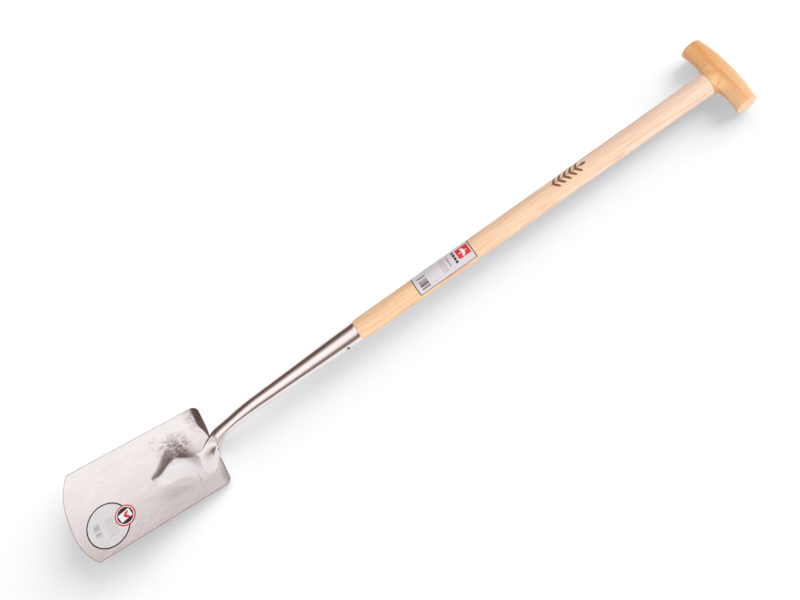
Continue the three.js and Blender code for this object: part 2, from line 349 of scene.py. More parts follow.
def blade_front(u, y):
    """Height of the front face: hollow across, with the ridge up and the treads rolled back."""
    dish = -DISH * (1 - (y / EDGE_HALF_WIDTH) ** 2)
    away = lerp(TREAD_AT_NECK, 1, smoothstep(np.abs(y), TREAD_GROWS_FROM, TREAD_FULL_FROM))
    rolled = np.clip(1 - u / (TREAD_LENGTH * away), 0, 1)
    depth = lerp(RIGHT_TREAD_ROLL, TREAD_ROLL, smoothstep(y, -SIDES_MEET, SIDES_MEET))
    return dish + ridge(u, y) - depth * away * rolled**TREAD_CURL


def blade_point(u, y, height):
    """A point of the blade in the working frame."""
    x = SHOULDER_X - u * math.cos(BLADE_TILT) + height * math.sin(BLADE_TILT)
    z = SHOULDER_Z + u * math.sin(BLADE_TILT) + height * math.cos(BLADE_TILT)
    return np.stack([x, y + 0 * x, z], axis=-1)


def shoulder_dip(y):
    """How far the shoulder line gives way to the neck on the left, and climbs its side on the right."""
    left = LEFT_DIP * (1 - smoothstep(y, LEFT_DIP_FULL, LEFT_DIP_END))
    right = -RIGHT_CLIMB * np.clip(1 + (y - RIGHT_CLIMB_FULL) / RIGHT_CLIMB_LENGTH, 0, 1) ** 2
    middle = lerp(-RIGHT_CLIMB, left, smoothstep(y, RIGHT_CLIMB_FULL, DIP_MEETS_CLIMB))
    return np.where(y > RIGHT_CLIMB_FULL, middle, right)


def blade_grid(rows, columns):
    """u and y over the whole blade, with rows crowded toward the shoulder and columns toward the sides."""
    row_crowding = 1.4
    column_crowding = 0.35
    along = np.linspace(0, 1, rows)[:, None] ** row_crowding
    even = np.linspace(-1, 1, columns)[None, :]
    across = lerp(even, np.sin(even * math.pi / 2), column_crowding)
    straight = BLADE_SIDE * along
    y = across * blade_half_width(straight)
    dip = shoulder_dip(y) * (1 - along)
    return straight + edge_bulge(y) * along + dip, y, dip


def blade():
    u, y, shoulder = blade_grid(rows=190, columns=130)
    front = blade_front(u, y)
    to_edge = BLADE_SIDE + edge_bulge(y) - u
    thickness = lerp(EDGE_THICKNESS, SHEET, np.clip(to_edge / EDGE_TAPER, 0, 1))
    points, faces = sheet_body(blade_point(u, y, front), blade_point(u, y, front - thickness))
    piece = shape("blade_sheet", points, faces, blade_steel())
    stands_for(piece, "blade")
    to_side = EDGE_HALF_WIDTH * (1 - np.abs(y) / side_line(u))
    lay_flat(piece, u, y, np.minimum(np.minimum(to_edge, to_side), u - shoulder))
    bevel(piece, EDGE_ROUNDING, 75)


def blade_disc(name, u, y, radius, lift, material, node):
    """A round sticker that follows the hollow of the blade."""
    side = np.linspace(-1, 1, 49)
    a, b = np.meshgrid(side, side, indexing="ij")
    du = radius * a * np.sqrt(1 - b * b / 2)
    dy = radius * b * np.sqrt(1 - a * a / 2)
    height = blade_front(u + du, y + dy) + lift
    top = blade_point(u + du, y + dy, height + LABEL_THICKNESS)
    points, faces = sheet_body(top, blade_point(u + du, y + dy, height))
    piece = shape(name, points, faces, material)
    stands_for(piece, node)
    lay_flat(piece, du, dy, 0 * du)


# ---- Socket ----
# Round the socket, angles run from the front toward -Y

def neck_line(distance):
    """Middle of the neck at a distance from the rim, and how far it has turned down."""
    straight = np.minimum(distance, NECK_STRAIGHT)
    turned = np.clip((distance - NECK_STRAIGHT) / BACK_BEND_RADIUS, 0, BACK_BEND)
    x = -(straight + BACK_BEND_RADIUS * np.sin(turned))
    z = -BACK_BEND_RADIUS * (1 - np.cos(turned))
    return x, z, turned


def neck_radius(distance):
    """A smooth curve through the stations."""
    at, radius = np.array(SOCKET_STATIONS, float).T
    return np.polyval(np.polyfit(at, radius, 4), distance)


def off_neck_line(distance, out, right):
    """The point that lies out in front of the neck's middle and to the right of it."""
    x, z, turned = neck_line(distance)
    return np.stack([x - out * np.sin(turned), -right, z + out * np.cos(turned)], axis=-1)


def neck_point(distance, radius, angle):
    """A point of a round ring about the neck's middle."""
    return off_neck_line(distance, radius * np.cos(angle), radius * np.sin(angle))


def from_crest(side, crest):
    """0 at the crest, 1 at either edge, where side is 1 or -1."""
    return np.abs(side - crest) / np.where(side > crest, 1 - crest, 1 + crest)


def pressed_neck_point(distance, angle):
    """A point of the neck's outside: round, with its front's crest pressed to the left toward the blade."""
    radius = neck_radius(distance)
    side = np.sin(angle)
    crest = -CREST_SHIFT * smoothstep(distance, CREST_SHIFT_START, CREST_SHIFT_END)
    front = np.sqrt(np.clip(1 - from_crest(side, crest) ** 2, 0, 1))
    out = radius * np.where(np.cos(angle) > 0, front, np.cos(angle))
    return off_neck_line(distance, out, radius * side)


def throat_loop(u, angle):
    """A closed section of the neck where it lies on the blade, u past the shoulder line."""
    side = np.sin(angle)
    fallen = min(1, u / THROAT_LENGTH)
    right_width = lerp(*THROAT_RIGHT, fallen**0.7)
    left_width = lerp(*THROAT_LEFT, smoothstep(u, 0, THROAT_LEFT_LENGTH))
    swerve = THROAT_SWERVE * smoothstep(u, 0, THROAT_SWERVE_LENGTH)
    y = -swerve - np.where(side > 0, right_width, left_width) * side

    right_power = lerp(*THROAT_RIGHT_POWER, smoothstep(u, 0, THROAT_RIGHT_POWER_LENGTH))
    power = np.where(side > -CREST_SHIFT, right_power, THROAT_LEFT_POWER)
    section = np.clip(1 - from_crest(side, -CREST_SHIFT) ** 2, 0, 1) ** power
    above = THROAT_FRONT * (1 - fallen) ** THROAT_FALL * section
    below = THROAT_BACK * max(0, 1 - (u / THROAT_BACK_LENGTH) ** 2) ** 1.5 * (1 - side**2)

    at = u + shoulder_dip(y) + THROAT_PAST_SHOULDER
    surface = blade_front(at, y)
    inside_sheet = surface - SHEET / 2
    back = blade_front(at, np.minimum(y, 0.0)) - SHEET + THROAT_SINK - below
    height = np.where(np.cos(angle) >= 0, surface + above - THROAT_SINK, np.minimum(back, inside_sheet))
    height = lerp(height, inside_sheet, smoothstep(np.abs(side), THROAT_EDGE, 1))
    return blade_point(at, y, height)


def throat(angle, rows):
    """Where the neck leaves its round section, and the loops that carry it onto the blade."""
    start = lerp(*NECK_ROUND_TO, np.abs(np.cos(angle)) ** 1.5)
    turned = neck_line(start)[2]
    away = np.stack([-np.cos(turned), 0 * angle, -np.sin(turned)], axis=-1)
    from_neck = pressed_neck_point(start, angle)
    onto_blade = throat_loop(0, angle)
    onward = throat_loop(1, angle) - onto_blade
    onward /= np.linalg.norm(onward, axis=1, keepdims=True)
    span = np.linalg.norm(onto_blade - from_neck, axis=1, keepdims=True)
    pull = span * lerp(*PULL, np.clip(-np.cos(angle), 0, 1))[:, None]
    first = from_neck + away * pull
    second = onto_blade - onward * pull
    loops = []
    for t in np.linspace(0, 1, rows)[1:]:
        rest = 1 - t
        near_neck = rest**3 * from_neck + 3 * t * rest**2 * first
        near_blade = 3 * t**2 * rest * second + t**3 * onto_blade
        loops.append(near_neck + near_blade)
    loops += [throat_loop(u, angle) for u in np.linspace(0, THROAT_LENGTH, 30)[1:]]
    return start, loops


def socket():
    """One closed skin: out of the bore, over the rim, along the neck and onto the blade."""
    angle = np.linspace(0, math.tau, 96, endpoint=False)
    start, loops = throat(angle, rows=18)
    rings = []
    for distance in np.linspace(SOCKET_HOLLOW, RIM_ROUNDING, 12):
        rings.append(neck_point(distance + 0 * angle, neck_radius(distance) - SOCKET_WALL, angle))
    for turn in np.linspace(0, math.pi, 7):
        distance = RIM_ROUNDING * (1 - math.sin(turn))
        radius = RIM_RADIUS - SOCKET_WALL / 2 * (1 + math.cos(turn))
        rings.append(neck_point(distance + 0 * angle, radius, angle))
    for share in np.linspace(0, 1, 70)[1:]:
        rings.append(pressed_neck_point(lerp(RIM_ROUNDING, start, share), angle))
    rings += loops
    bore_end = neck_point(np.array(SOCKET_HOLLOW), 0, 0.0)
    sheet_end = loops[-1].mean(axis=0)
    points, faces = rings_body(rings, bore_end, sheet_end)
    piece = shape("socket_neck", points, faces, socket_steel(), crease=60)
    stands_for(piece, "socket")


# ---- Turned pieces ----

def turned(profile, sides):
    """Rings about the x axis from (x, radius) pairs, closed at both ends."""
    angle = np.linspace(0, math.tau, sides, endpoint=False)
    rings = []
    for x, radius in profile:
        rings.append(np.stack([x + 0 * angle, -radius * np.sin(angle), radius * np.cos(angle)], axis=-1))
    return rings_body(rings, (profile[0][0], 0, 0), (profile[-1][0], 0, 0))


def rivet():
    """A shank between two domed heads, through the socket and the shaft."""
    seat = neck_radius(RIVET_DISTANCE) - RIVET_SEAT
    head = []
    for turn in np.linspace(0, math.pi / 2, 7):
        radius = RIVET_HEAD_RADIUS * math.cos(turn) + RIVET_FLAT
        head.append((seat + RIVET_HEAD_HEIGHT * math.sin(turn), radius))
    tail = [(-x, radius) for x, radius in head[::-1]]
    shank = [(-seat, RIVET_SHANK_RADIUS), (seat, RIVET_SHANK_RADIUS)]
    points, faces = turned(tail + shank + head, 32)
    outward = (0, -math.sin(RIVET_ANGLE), math.cos(RIVET_ANGLE))
    across = (0, math.cos(RIVET_ANGLE), math.sin(RIVET_ANGLE))
    points = points @ np.array([outward, across, (1, 0, 0)]) + (-RIVET_DISTANCE, 0, 0)
    piece = shape("rivet", points, faces, rivet_steel())
    stands_for(piece, "socket_rivet")


def shaft():
    """A taper in the socket, an eased edge at its rim, the bare stick and the tenon in the grip."""
    taper = [(x, neck_radius(-x) - SOCKET_WALL - WOOD_FIT) for x in np.linspace(-SHAFT_IN_SOCKET, -0.5, 12)]
    eased = [(0.2, SHAFT_RADIUS - 0.6), (0.5, SHAFT_RADIUS - 0.15), (1.0, SHAFT_RADIUS)]
    stick = [(x, SHAFT_RADIUS) for x in np.linspace(5, SHAFT_VISIBLE - 1, 60)]
    end = [(SHAFT_VISIBLE - 0.4, SHAFT_RADIUS - 0.1), (SHAFT_VISIBLE, SHAFT_RADIUS - 0.5)]
    tenon = [(SHAFT_VISIBLE, TENON_RADIUS), (SHAFT_VISIBLE + TENON_LENGTH, TENON_RADIUS)]
    points, faces = turned(taper + eased + stick + end + tenon, 128)
    piece = shape("shaft_stick", points, faces, ash())
    stands_for(piece, "shaft")


def shaft_label():
    """A film wrapped round the shaft, which leaves a gap at the back."""
    along = np.linspace(SHAFT_LABEL_END, SHAFT_LABEL_START, 40)
    around = np.linspace(SHAFT_LABEL_TO, SHAFT_LABEL_FROM, 70)
    x, angle = np.meshgrid(along, around, indexing="ij")

    def wrap(radius):
        return np.stack([x, -radius * np.sin(angle), radius * np.cos(angle)], axis=-1)

    under = SHAFT_RADIUS + LABEL_LIFT
    points, faces = sheet_body(wrap(under), wrap(under + LABEL_THICKNESS))
    piece = shape("shaft_band_label", points, faces, label_film())
    stands_for(piece, "shaft_label")
    lay_flat(piece, x, SHAFT_RADIUS * angle, 0 * x)


# ---- Grip ----

def grip_section(y):
    """The arms at y: how far their middle is from the joint, and half their depth and thickness."""
    to_end = abs(y) / GRIP_HALF_LENGTH
    top = lerp(GRIP_CROWN, GRIP_END_TOP, to_end**2)
    arm_start = SHAFT_RADIUS + GRIP_FILLET
    if abs(y) <= SHAFT_RADIUS:
        bottom = 0.0
    elif abs(y) < arm_start:
        bottom = GRIP_WAIST * math.sqrt(1 - ((arm_start - abs(y)) / GRIP_FILLET) ** 2)
    else:
        share = (abs(y) - arm_start) / (GRIP_HALF_LENGTH - arm_start)
        bottom = lerp(GRIP_WAIST, GRIP_END_UNDERSIDE, share**2)
    thick = lerp(SHAFT_RADIUS, GRIP_END_HALF_THICKNESS, to_end**2)
    return (top + bottom) / 2, (top - bottom) / 2, thick


def grip_arms():
    angle = np.linspace(0, math.tau, 96, endpoint=False)
    flank = GRIP_HALF_LENGTH - GRIP_CHAMFER
    face = 1 - GRIP_CHAMFER / GRIP_END_HALF_THICKNESS
    stations = [(-GRIP_HALF_LENGTH, face)]
    stations += [(y, 1) for y in np.linspace(-flank, flank, 121)]
    stations += [(GRIP_HALF_LENGTH, face)]
    rings = []
    for y, share in stations:
        middle, half, thick = grip_section(y)
        x = middle + half * share * np.cos(angle)
        rings.append(np.stack([x, y + 0 * x, -thick * share * np.sin(angle)], axis=-1))
    middle = grip_section(GRIP_HALF_LENGTH)[0]
    return rings_body(rings[::-1], (middle, GRIP_HALF_LENGTH, 0), (middle, -GRIP_HALF_LENGTH, 0))


def grip():
    """The arms and the boss round the shaft are grown together, smoothed, and cut off flat at the joint."""
    arm_points, arm_faces = grip_arms()
    boss_points, boss_faces = turned([(-BOSS_SPARE, SHAFT_RADIUS), (GRIP_CROWN / 2, SHAFT_RADIUS)], 96)
    points = np.concatenate([arm_points, boss_points])
    faces = arm_faces + [tuple(i + len(arm_points) for i in face) for face in boss_faces]
    joint = (SHAFT_VISIBLE + WOOD_FIT, 0, 0)
    wood = varnished_wood()
    rough = shape("grip_rough", points + joint, faces, wood)
    remesh = rough.modifiers.new("grown", "REMESH")
    remesh.mode = "VOXEL"
    remesh.voxel_size = GRIP_GRAIN * MM
    remesh.use_smooth_shade = True
    smooth = rough.modifiers.new("sanded", "SMOOTH")
    smooth.factor = 0.5
    smooth.iterations = 7

    bore = TENON_RADIUS + WOOD_FIT
    cutter_profile = [
        (-2 * BOSS_SPARE, CUTTER_RADIUS),
        (0, CUTTER_RADIUS),
        (0, bore),
        (TENON_LENGTH + WOOD_FIT, bore),
    ]
    cutter_points, cutter_faces = turned(cutter_profile, 96)
    cutter = shape("grip_cutter", cutter_points + joint, cutter_faces, wood)
    cut = rough.modifiers.new("cut", "BOOLEAN")
    cut.operation = "DIFFERENCE"
    cut.solver = "EXACT"
    cut.object = cutter

    bpy.context.view_layer.update()
    made = bpy.data.meshes.new_from_object(rough.evaluated_get(bpy.context.evaluated_depsgraph_get()))
    made.name = "grip_turned"
    made.shade_smooth()
    made.set_sharp_from_angle(angle=math.radians(50))
    stands_for(show("grip_turned", made), "grip")
    bpy.data.objects.remove(rough)
    bpy.data.objects.remove(cutter)


# ---- Materials ----

def colour(red, green, blue):
    """A colour as shaders take it, from the 0 to 255 values it shows as."""
    shown = [value / 255 for value in (red, green, blue)]
    linear = [v / 12.92 if v <= 0.04045 else ((v + 0.055) / 1.055) ** 2.4 for v in shown]
    return (*linear, 1.0)


class Nodes:
    """Short names for the nodes of one tree."""

    def __init__(self, tree):
        self.tree = tree

    def feed(self, entry, value):
        if isinstance(value, bpy.types.NodeSocket):
            self.tree.links.new(value, entry)
        else:
            entry.default_value = value

    def node(self, kind, **settings):
        made = self.tree.nodes.new("ShaderNode" + kind)
        for name, value in settings.items():
            setattr(made, name, value)
        return made

    def math(self, operation, *values):
        made = self.node("Math", operation=operation)
        for entry, value in zip(made.inputs, values):
            self.feed(entry, value)
        return made.outputs[0]

    def vector(self, operation, *values):
        made = self.node("VectorMath", operation=operation)
        for entry, value in zip(made.inputs, values):
            self.feed(entry, value)
        return made.outputs["Value" if operation in ("LENGTH", "DOT_PRODUCT") else "Vector"]

    def axes(self, vector):
        parts = self.node("SeparateXYZ")
        self.feed(parts.inputs[0], vector)
        return parts.outputs[0], parts.outputs[1], parts.outputs[2]

    def join(self, x, y, z):
        made = self.node("CombineXYZ")
        for entry, value in zip(made.inputs, (x, y, z)):
            self.feed(entry, value)
        return made.outputs[0]


class Paint(Nodes):
    """One material and the patterns its nodes make."""

    def __init__(self, name, **settings):
        self.material = bpy.data.materials.new(name)
        self.material.use_nodes = True
        super().__init__(self.material.node_tree)
        self.shader = self.tree.nodes["Principled BSDF"]
        for socket_name, value in settings.items():
            self.set(socket_name.replace("_", " "), value)

    def set(self, socket_name, value):
        self.feed(self.shader.inputs[socket_name], value)

    def place(self):
        """The point's place in the working frame, in mm."""
        moved = self.node("Mapping", vector_type="TEXTURE")
        self.feed(moved.inputs["Vector"], self.node("TexCoord").outputs["Object"])
        self.feed(moved.inputs["Location"], WORKING.to_translation())
        self.feed(moved.inputs["Rotation"], WORKING.to_euler())
        self.feed(moved.inputs["Scale"], (MM, MM, MM))
        return moved.outputs[0]

    def flat(self):
        """The point's place on the flattened sheet, in mm."""
        return self.node("Attribute", attribute_name="flat").outputs["Vector"]

    def noise(self, vector, stretch, detail=2.0, roughness=0.5):
        """Noise from 0 to 1 whose spots are about stretch mm long in x, y and z."""
        made = self.node("TexNoise")
        scaled = self.vector("DIVIDE", vector, stretch)
        self.feed(made.inputs["Vector"], scaled)
        self.feed(made.inputs["Scale"], 1.0)
        self.feed(made.inputs["Detail"], detail)
        self.feed(made.inputs["Roughness"], roughness)
        return made.outputs["Fac"]

    def fade(self, value, low, high, start=0.0, end=1.0):
        """start below low, end above high, smooth between."""
        made = self.node("MapRange", interpolation_type="SMOOTHSTEP")
        for entry, number in zip(made.inputs, (value, low, high, start, end)):
            self.feed(entry, number)
        return made.outputs[0]

    def mix(self, share, first, second):
        """first where share is 0, second where it is 1."""
        made = self.node("Mix", data_type="RGBA")
        colours = [entry for entry in made.inputs if entry.type == "RGBA"]
        for entry, value in zip((made.inputs[0], *colours), (share, first, second)):
            self.feed(entry, value)
        return next(output for output in made.outputs if output.type == "RGBA")

    def bump(self, height, depth, below=None):
        """depth is how far, in mm, the surface rises where height is 1."""
        made = self.node("Bump")
        self.feed(made.inputs["Height"], height)
        self.feed(made.inputs["Strength"], 1.0)
        self.feed(made.inputs["Distance"], depth * MM)
        if below is not None:
            self.feed(made.inputs["Normal"], below)
        return made.outputs[0]

    def about(self, vector, middle, angle):
        """The x and y of vector from middle, along axes turned by angle."""
        offset = self.vector("SUBTRACT", vector, (*middle, 0))
        along = self.vector("DOT_PRODUCT", offset, (math.cos(angle), math.sin(angle), 0))
        across = self.vector("DOT_PRODUCT", offset, (-math.sin(angle), math.cos(angle), 0))
        return along, across

    def box(self, vector, low, high, angle=0.0):
        """1 inside a rectangle of the x and y of vector, turned about its own middle."""
        middle = ((low[0] + high[0]) / 2, (low[1] + high[1]) / 2)
        x, y = self.about(vector, middle, angle)
        past_x = self.math("SUBTRACT", self.math("ABSOLUTE", x), abs(high[0] - low[0]) / 2)
        past_y = self.math("SUBTRACT", self.math("ABSOLUTE", y), abs(high[1] - low[1]) / 2)
        return self.math("LESS_THAN", self.math("MAXIMUM", past_x, past_y), 0.0)

    def oval(self, vector, middle, half, angle=0.0):
        """1 inside an ellipse of the x and y of vector."""
        x, y = self.about(vector, middle, angle)
        ratio = self.join(self.math("DIVIDE", x, half[0]), self.math("DIVIDE", y, half[1]), 0.0)
        return self.math("LESS_THAN", self.vector("LENGTH", ratio), 1.0)

    def spot(self, vector, middle, half, inner, outer):
        """1 near the middle of an ellipse of the x and y of vector, fading out between two of its sizes."""
        ratio = self.vector("DIVIDE", self.vector("SUBTRACT", vector, (*middle, 0)), (*half, 1000))
        return self.fade(self.vector("LENGTH", ratio), inner, outer, 1.0, 0.0)

    def tint(self, base, share, shade, strength=1.0):
        """base with shade laid over it as far as share says, times strength."""
        if strength != 1.0:
            share = self.math("MULTIPLY", share, strength)
        return self.mix(share, base, shade)

    def union(self, masks):
        """1 inside any of the masks."""
        total = masks[0]
        for mask in masks[1:]:
            total = self.math("MAXIMUM", total, mask)
        return total


def blade_metal(paint, cloud, u, y):
    """Bare polished sheet, with painted shade that darkens it toward the right shoulder."""
    bright = paint.mix(cloud, colour(230, 225, 225), colour(246, 242, 242))
    # Painted shade: the sheet darkens toward the right shoulder
    painted_right_shade = paint.math("MULTIPLY", paint.fade(y, -46, 34, 1.0, 0.0), paint.fade(u, 60, 190, 1.0, 0.15))
    return paint.tint(bright, painted_right_shade, colour(202, 198, 200), 0.5)


def blade_steel():
    paint = Paint("blade_steel", Metallic=1.0)
    place = paint.flat()
    u, y, rim = paint.axes(place)
    cloud = paint.noise(place, (60, 35, 35), detail=3.0)
    lines = paint.noise(place, (22, 0.6, 0.6), detail=3.0, roughness=0.6)
    patchy = paint.noise(place, (9, 6, 6), detail=4.0, roughness=0.6)
    base = blade_metal(paint, cloud, u, y)
    base = paint.tint(base, paint.fade(lines, 0.35, 0.75, 0.0, 0.34), colour(206, 200, 200))

    # Painted dark reflection, mottled, over the rolled left tread by the shoulder
    left_shoulder = paint.math("MULTIPLY", paint.fade(u, 10, 34, 1.0, 0.0), paint.fade(y, 18, 62))
    painted_shoulder_reflection = paint.math("MULTIPLY", left_shoulder, paint.fade(patchy, 0.3, 0.62))
    base = paint.tint(base, painted_shoulder_reflection, colour(146, 132, 128), 0.75)
    # Painted dark reflection, mottled, on the ridge's left flank
    beside_ridge = paint.spot(place, (62, 27), (32, 27), 0.4, 1.2)
    painted_flank_reflection = paint.math("MULTIPLY", beside_ridge, paint.fade(patchy, 0.36, 0.6))
    base = paint.tint(base, painted_flank_reflection, colour(138, 122, 122), 0.8)
    # Painted patchy shade over the right half of the blade
    right_half = paint.spot(place, (84, -40), (46, 17), 0.3, 1.1)
    painted_patchy_shade = paint.math("MULTIPLY", right_half, paint.fade(cloud, 0.42, 0.58))
    base = paint.tint(base, painted_patchy_shade, colour(176, 168, 170), 0.4)

    speck = paint.fade(paint.noise(place, (1.8, 1.4, 1.4), detail=2.0), 0.70, 0.76)
    base = paint.tint(base, speck, colour(150, 130, 118), 0.25)
    rust_place = paint.union([paint.oval(place, (91, 58), (7, 4)), paint.oval(place, (96, 44), (4, 5))])
    rust = paint.fade(paint.noise(place, (5, 4, 4), detail=4.0), 0.5, 0.62)
    base = paint.tint(base, paint.math("MULTIPLY", rust, rust_place), colour(190, 160, 120), 0.5)
    # Reddish-brown edges: partly wear, partly a painted warm glint along the sheet's cut edges
    worn_edge_and_glint = paint.fade(rim, 0.4, 2.0, 1.0, 0.0)
    base = paint.tint(base, worn_edge_and_glint, colour(176, 128, 116), 0.75)
    paint.set("Base Color", base)
    paint.set("Roughness", paint.fade(lines, 0.2, 0.8, 0.17, 0.27))
    hammered = paint.bump(paint.noise(place, (30, 22, 22), detail=2.0), 0.30)
    ground = paint.bump(patchy, 0.10, hammered)
    paint.set("Normal", paint.bump(lines, 0.006, ground))
    return paint.material


def socket_steel():
    paint = Paint("socket_steel", Metallic=1.0)
    place = paint.place()
    cloud = paint.noise(place, (70, 16, 16), detail=3.0)
    lines = paint.noise(place, (30, 0.7, 0.7), detail=3.0, roughness=0.6)
    base = paint.mix(cloud, colour(230, 222, 218), colour(250, 245, 243))
    speck = paint.fade(paint.noise(place, (2.2, 1.3, 1.3), detail=3.0), 0.68, 0.74)
    base = paint.tint(base, speck, colour(236, 226, 214), 0.55)
    x, y, _ = paint.axes(place)
    # The rim's polished lip is lighter: a painted glint
    lip = paint.fade(x, -2.4, -0.6)
    base = paint.tint(base, lip, colour(250, 246, 242), 0.5)
    # Toward the blade the socket takes the blade's colour, its painted shade included
    u = paint.math("MULTIPLY", paint.math("SUBTRACT", x, SHOULDER_X), -1 / math.cos(BLADE_TILT))
    base = paint.tint(base, paint.fade(u, -24, 4), blade_metal(paint, cloud, u, y))
    paint.set("Base Color", base)
    in_pits = paint.math("MULTIPLY", speck, 0.2)
    paint.set("Roughness", paint.math("ADD", paint.fade(lines, 0.2, 0.8, 0.10, 0.2), in_pits))
    wavy = paint.bump(paint.noise(place, (38, 12, 12), detail=1.5), 0.10)
    ragged = paint.bump(paint.noise(place, (5, 2.2, 2.2), detail=3.0), 0.03, wavy)
    pits = paint.bump(paint.math("MULTIPLY", speck, -1.0), 0.03, ragged)
    paint.set("Normal", paint.bump(lines, 0.006, pits))
    return paint.material


def rivet_steel():
    paint = Paint("rivet_steel", Metallic=1.0)
    place = paint.place()
    cloud = paint.noise(place, (1.6, 1.6, 1.6), detail=4.0)
    paint.set("Base Color", paint.mix(cloud, colour(70, 58, 52), colour(176, 165, 158)))
    paint.set("Roughness", paint.fade(cloud, 0.3, 0.7, 0.25, 0.5))
    paint.set("Normal", paint.bump(cloud, 0.04))
    return paint.material


def sprig(paint, place):
    """The burnt mark on the shaft: a generic sprig of leaves, drawn on the x and arc of place."""
    middle, tilt = 5.0, math.radians(50)
    masks = [paint.box(place, (375, middle - 0.7), (427, middle + 0.7))]
    for i in range(5):
        x = 382 + 10 * i
        masks.append(paint.oval(place, (x, middle + 5), (6.6, 2.1), tilt))
        masks.append(paint.oval(place, (x, middle - 5), (6.6, 2.1), -tilt))
    masks.append(paint.oval(place, (432, middle), (5.5, 2.3)))
    return paint.union(masks)


def ash():
    paint = Paint("ash", Roughness=0.5)
    place = paint.place()
    x, y, z = paint.axes(place)
    wander = paint.noise(place, (190, 40, 40), detail=2.0)
    pith = paint.join(0.0, paint.math("ADD", y, 40.0), paint.math("ADD", z, -12.0))
    from_pith = paint.vector("LENGTH", pith)
    depth = paint.math("ADD", from_pith, paint.math("MULTIPLY", wander, 22.0))
    ring = paint.math("FRACT", paint.math("DIVIDE", depth, 3.4))
    late = paint.math("MULTIPLY", paint.fade(ring, 0.3, 0.92), paint.fade(ring, 0.95, 1.0, 1.0, 0.0))
    fibre = paint.noise(place, (60, 0.8, 0.8), detail=3.0, roughness=0.65)
    broad = paint.noise(place, (150, 5, 5), detail=2.0)
    along = paint.fade(x, 40, 640)
    pale = paint.mix(along, colour(246, 206, 163), colour(250, 222, 202))
    warm = paint.mix(along, colour(232, 172, 114), colour(234, 180, 144))
    base = paint.mix(paint.math("MULTIPLY", late, 0.55), pale, warm)
    base = paint.tint(base, paint.fade(fibre, 0.5, 0.72, 0.0, 0.5), colour(224, 164, 118))
    base = paint.tint(base, paint.fade(fibre, 0.48, 0.3, 0.0, 0.75), colour(254, 236, 216))
    base = paint.tint(base, paint.fade(broad, 0.5, 0.75, 0.0, 0.35), colour(228, 176, 132))
    pores = paint.fade(paint.noise(place, (9, 0.22, 0.22), detail=2.0), 0.66, 0.74)
    base = paint.tint(base, pores, colour(176, 120, 80), 0.35)
    arc = paint.math("MULTIPLY", paint.math("ARCTAN2", y, z), SHAFT_RADIUS)
    mark = sprig(paint, paint.join(x, arc, 0.0))
    char = paint.noise(place, (2.0, 1.2, 1.2), detail=3.0)
    burnt = paint.mix(char, colour(84, 38, 20), colour(140, 76, 44))
    base = paint.tint(base, mark, burnt, 0.92)
    joint = paint.fade(paint.math("ABSOLUTE", paint.math("SUBTRACT", x, SHAFT_VISIBLE)), 0.4, 1.4, 0.75, 0.0)
    base = paint.tint(base, joint, colour(196, 104, 66))
    paint.set("Base Color", base)
    paint.set("Roughness", paint.fade(fibre, 0.3, 0.7, 0.42, 0.6))
    rough = paint.bump(fibre, 0.05)
    rough = paint.bump(paint.math("MULTIPLY", pores, -1.0), 0.05, rough)
    paint.set("Normal", paint.bump(paint.math("MULTIPLY", mark, -1.0), 0.35, rough))
    return paint.material


def varnished_wood():
    paint = Paint("varnished_wood", Roughness=0.34, Coat_Weight=0.35, Coat_Roughness=0.22)
    place = paint.place()
    x, y, z = paint.axes(paint.vector("SUBTRACT", place, (SHAFT_VISIBLE, 0, 0)))
    wander = paint.noise(place, (30, 110, 30), detail=2.0)
    across = paint.join(paint.math("ADD", x, 38.0), 0.0, paint.math("ADD", z, 26.0))
    depth = paint.math("ADD", paint.vector("LENGTH", across), paint.math("MULTIPLY", wander, 15.0))
    ring = paint.math("FRACT", paint.math("DIVIDE", depth, 21.0))
    late = paint.math("MULTIPLY", paint.fade(ring, 0.35, 0.85), paint.fade(ring, 0.9, 1.0, 1.0, 0.0))
    fibre = paint.noise(place, (0.9, 45, 0.9), detail=3.0, roughness=0.7)
    base = paint.mix(paint.math("MULTIPLY", late, 0.75), colour(250, 196, 138), colour(231, 152, 82))
    base = paint.tint(base, paint.fade(fibre, 0.45, 0.8, 0.0, 0.4), colour(224, 158, 100))
    base = paint.tint(base, paint.fade(fibre, 0.42, 0.22, 0.0, 0.35), colour(254, 216, 168))
    # Deeper orange toward the +y arm, and a painted highlight paling the -y arm
    base = paint.tint(base, paint.fade(y, -30, 55, 0.0, 0.45), colour(226, 156, 88))
    base = paint.tint(base, paint.fade(y, -62, 0, 0.3, 0.0), colour(255, 216, 176))
    # Painted highlight on the chamfered ends of the arms
    end = paint.fade(paint.math("ABSOLUTE", y), GRIP_HALF_LENGTH - 1.6, GRIP_HALF_LENGTH - 0.3)
    base = paint.tint(base, end, colour(246, 208, 172), 0.6)
    paint.set("Base Color", base)
    paint.set("Roughness", paint.fade(fibre, 0.3, 0.7, 0.28, 0.42))
    paint.set("Normal", paint.bump(fibre, 0.03))
    return paint.material


def print_lines(paint, place, low, high, count):
    """Rows of small print too fine to read: broken bars that run along y, one after another in x."""
    pitch = (high[0] - low[0]) / count
    thickness = 0.44 * pitch
    masks = []
    for i in range(count):
        start = low[0] + (i + 0.5) * pitch - thickness / 2
        masks.append(paint.box(place, (start, low[1]), (start + thickness, high[1])))
    x, y, _ = paint.axes(place)
    words = paint.noise(paint.join(x, y, 0.0), (0.9, 0.9, 1.0), detail=0.0)
    return paint.math("MULTIPLY", paint.union(masks), paint.math("GREATER_THAN", words, 0.42))


def barcode(paint, place, low, high, pitch):
    """A block of made-up bars that run along x: each step of pitch in y is light or dark at random."""
    cell = paint.math("FLOOR", paint.math("DIVIDE", paint.axes(place)[1], pitch))
    white = paint.node("TexWhiteNoise", noise_dimensions="1D")
    paint.feed(white.inputs["W"], cell)
    bars = paint.math("GREATER_THAN", white.outputs["Value"], 0.45)
    return paint.math("MULTIPLY", paint.box(place, low, high), bars)


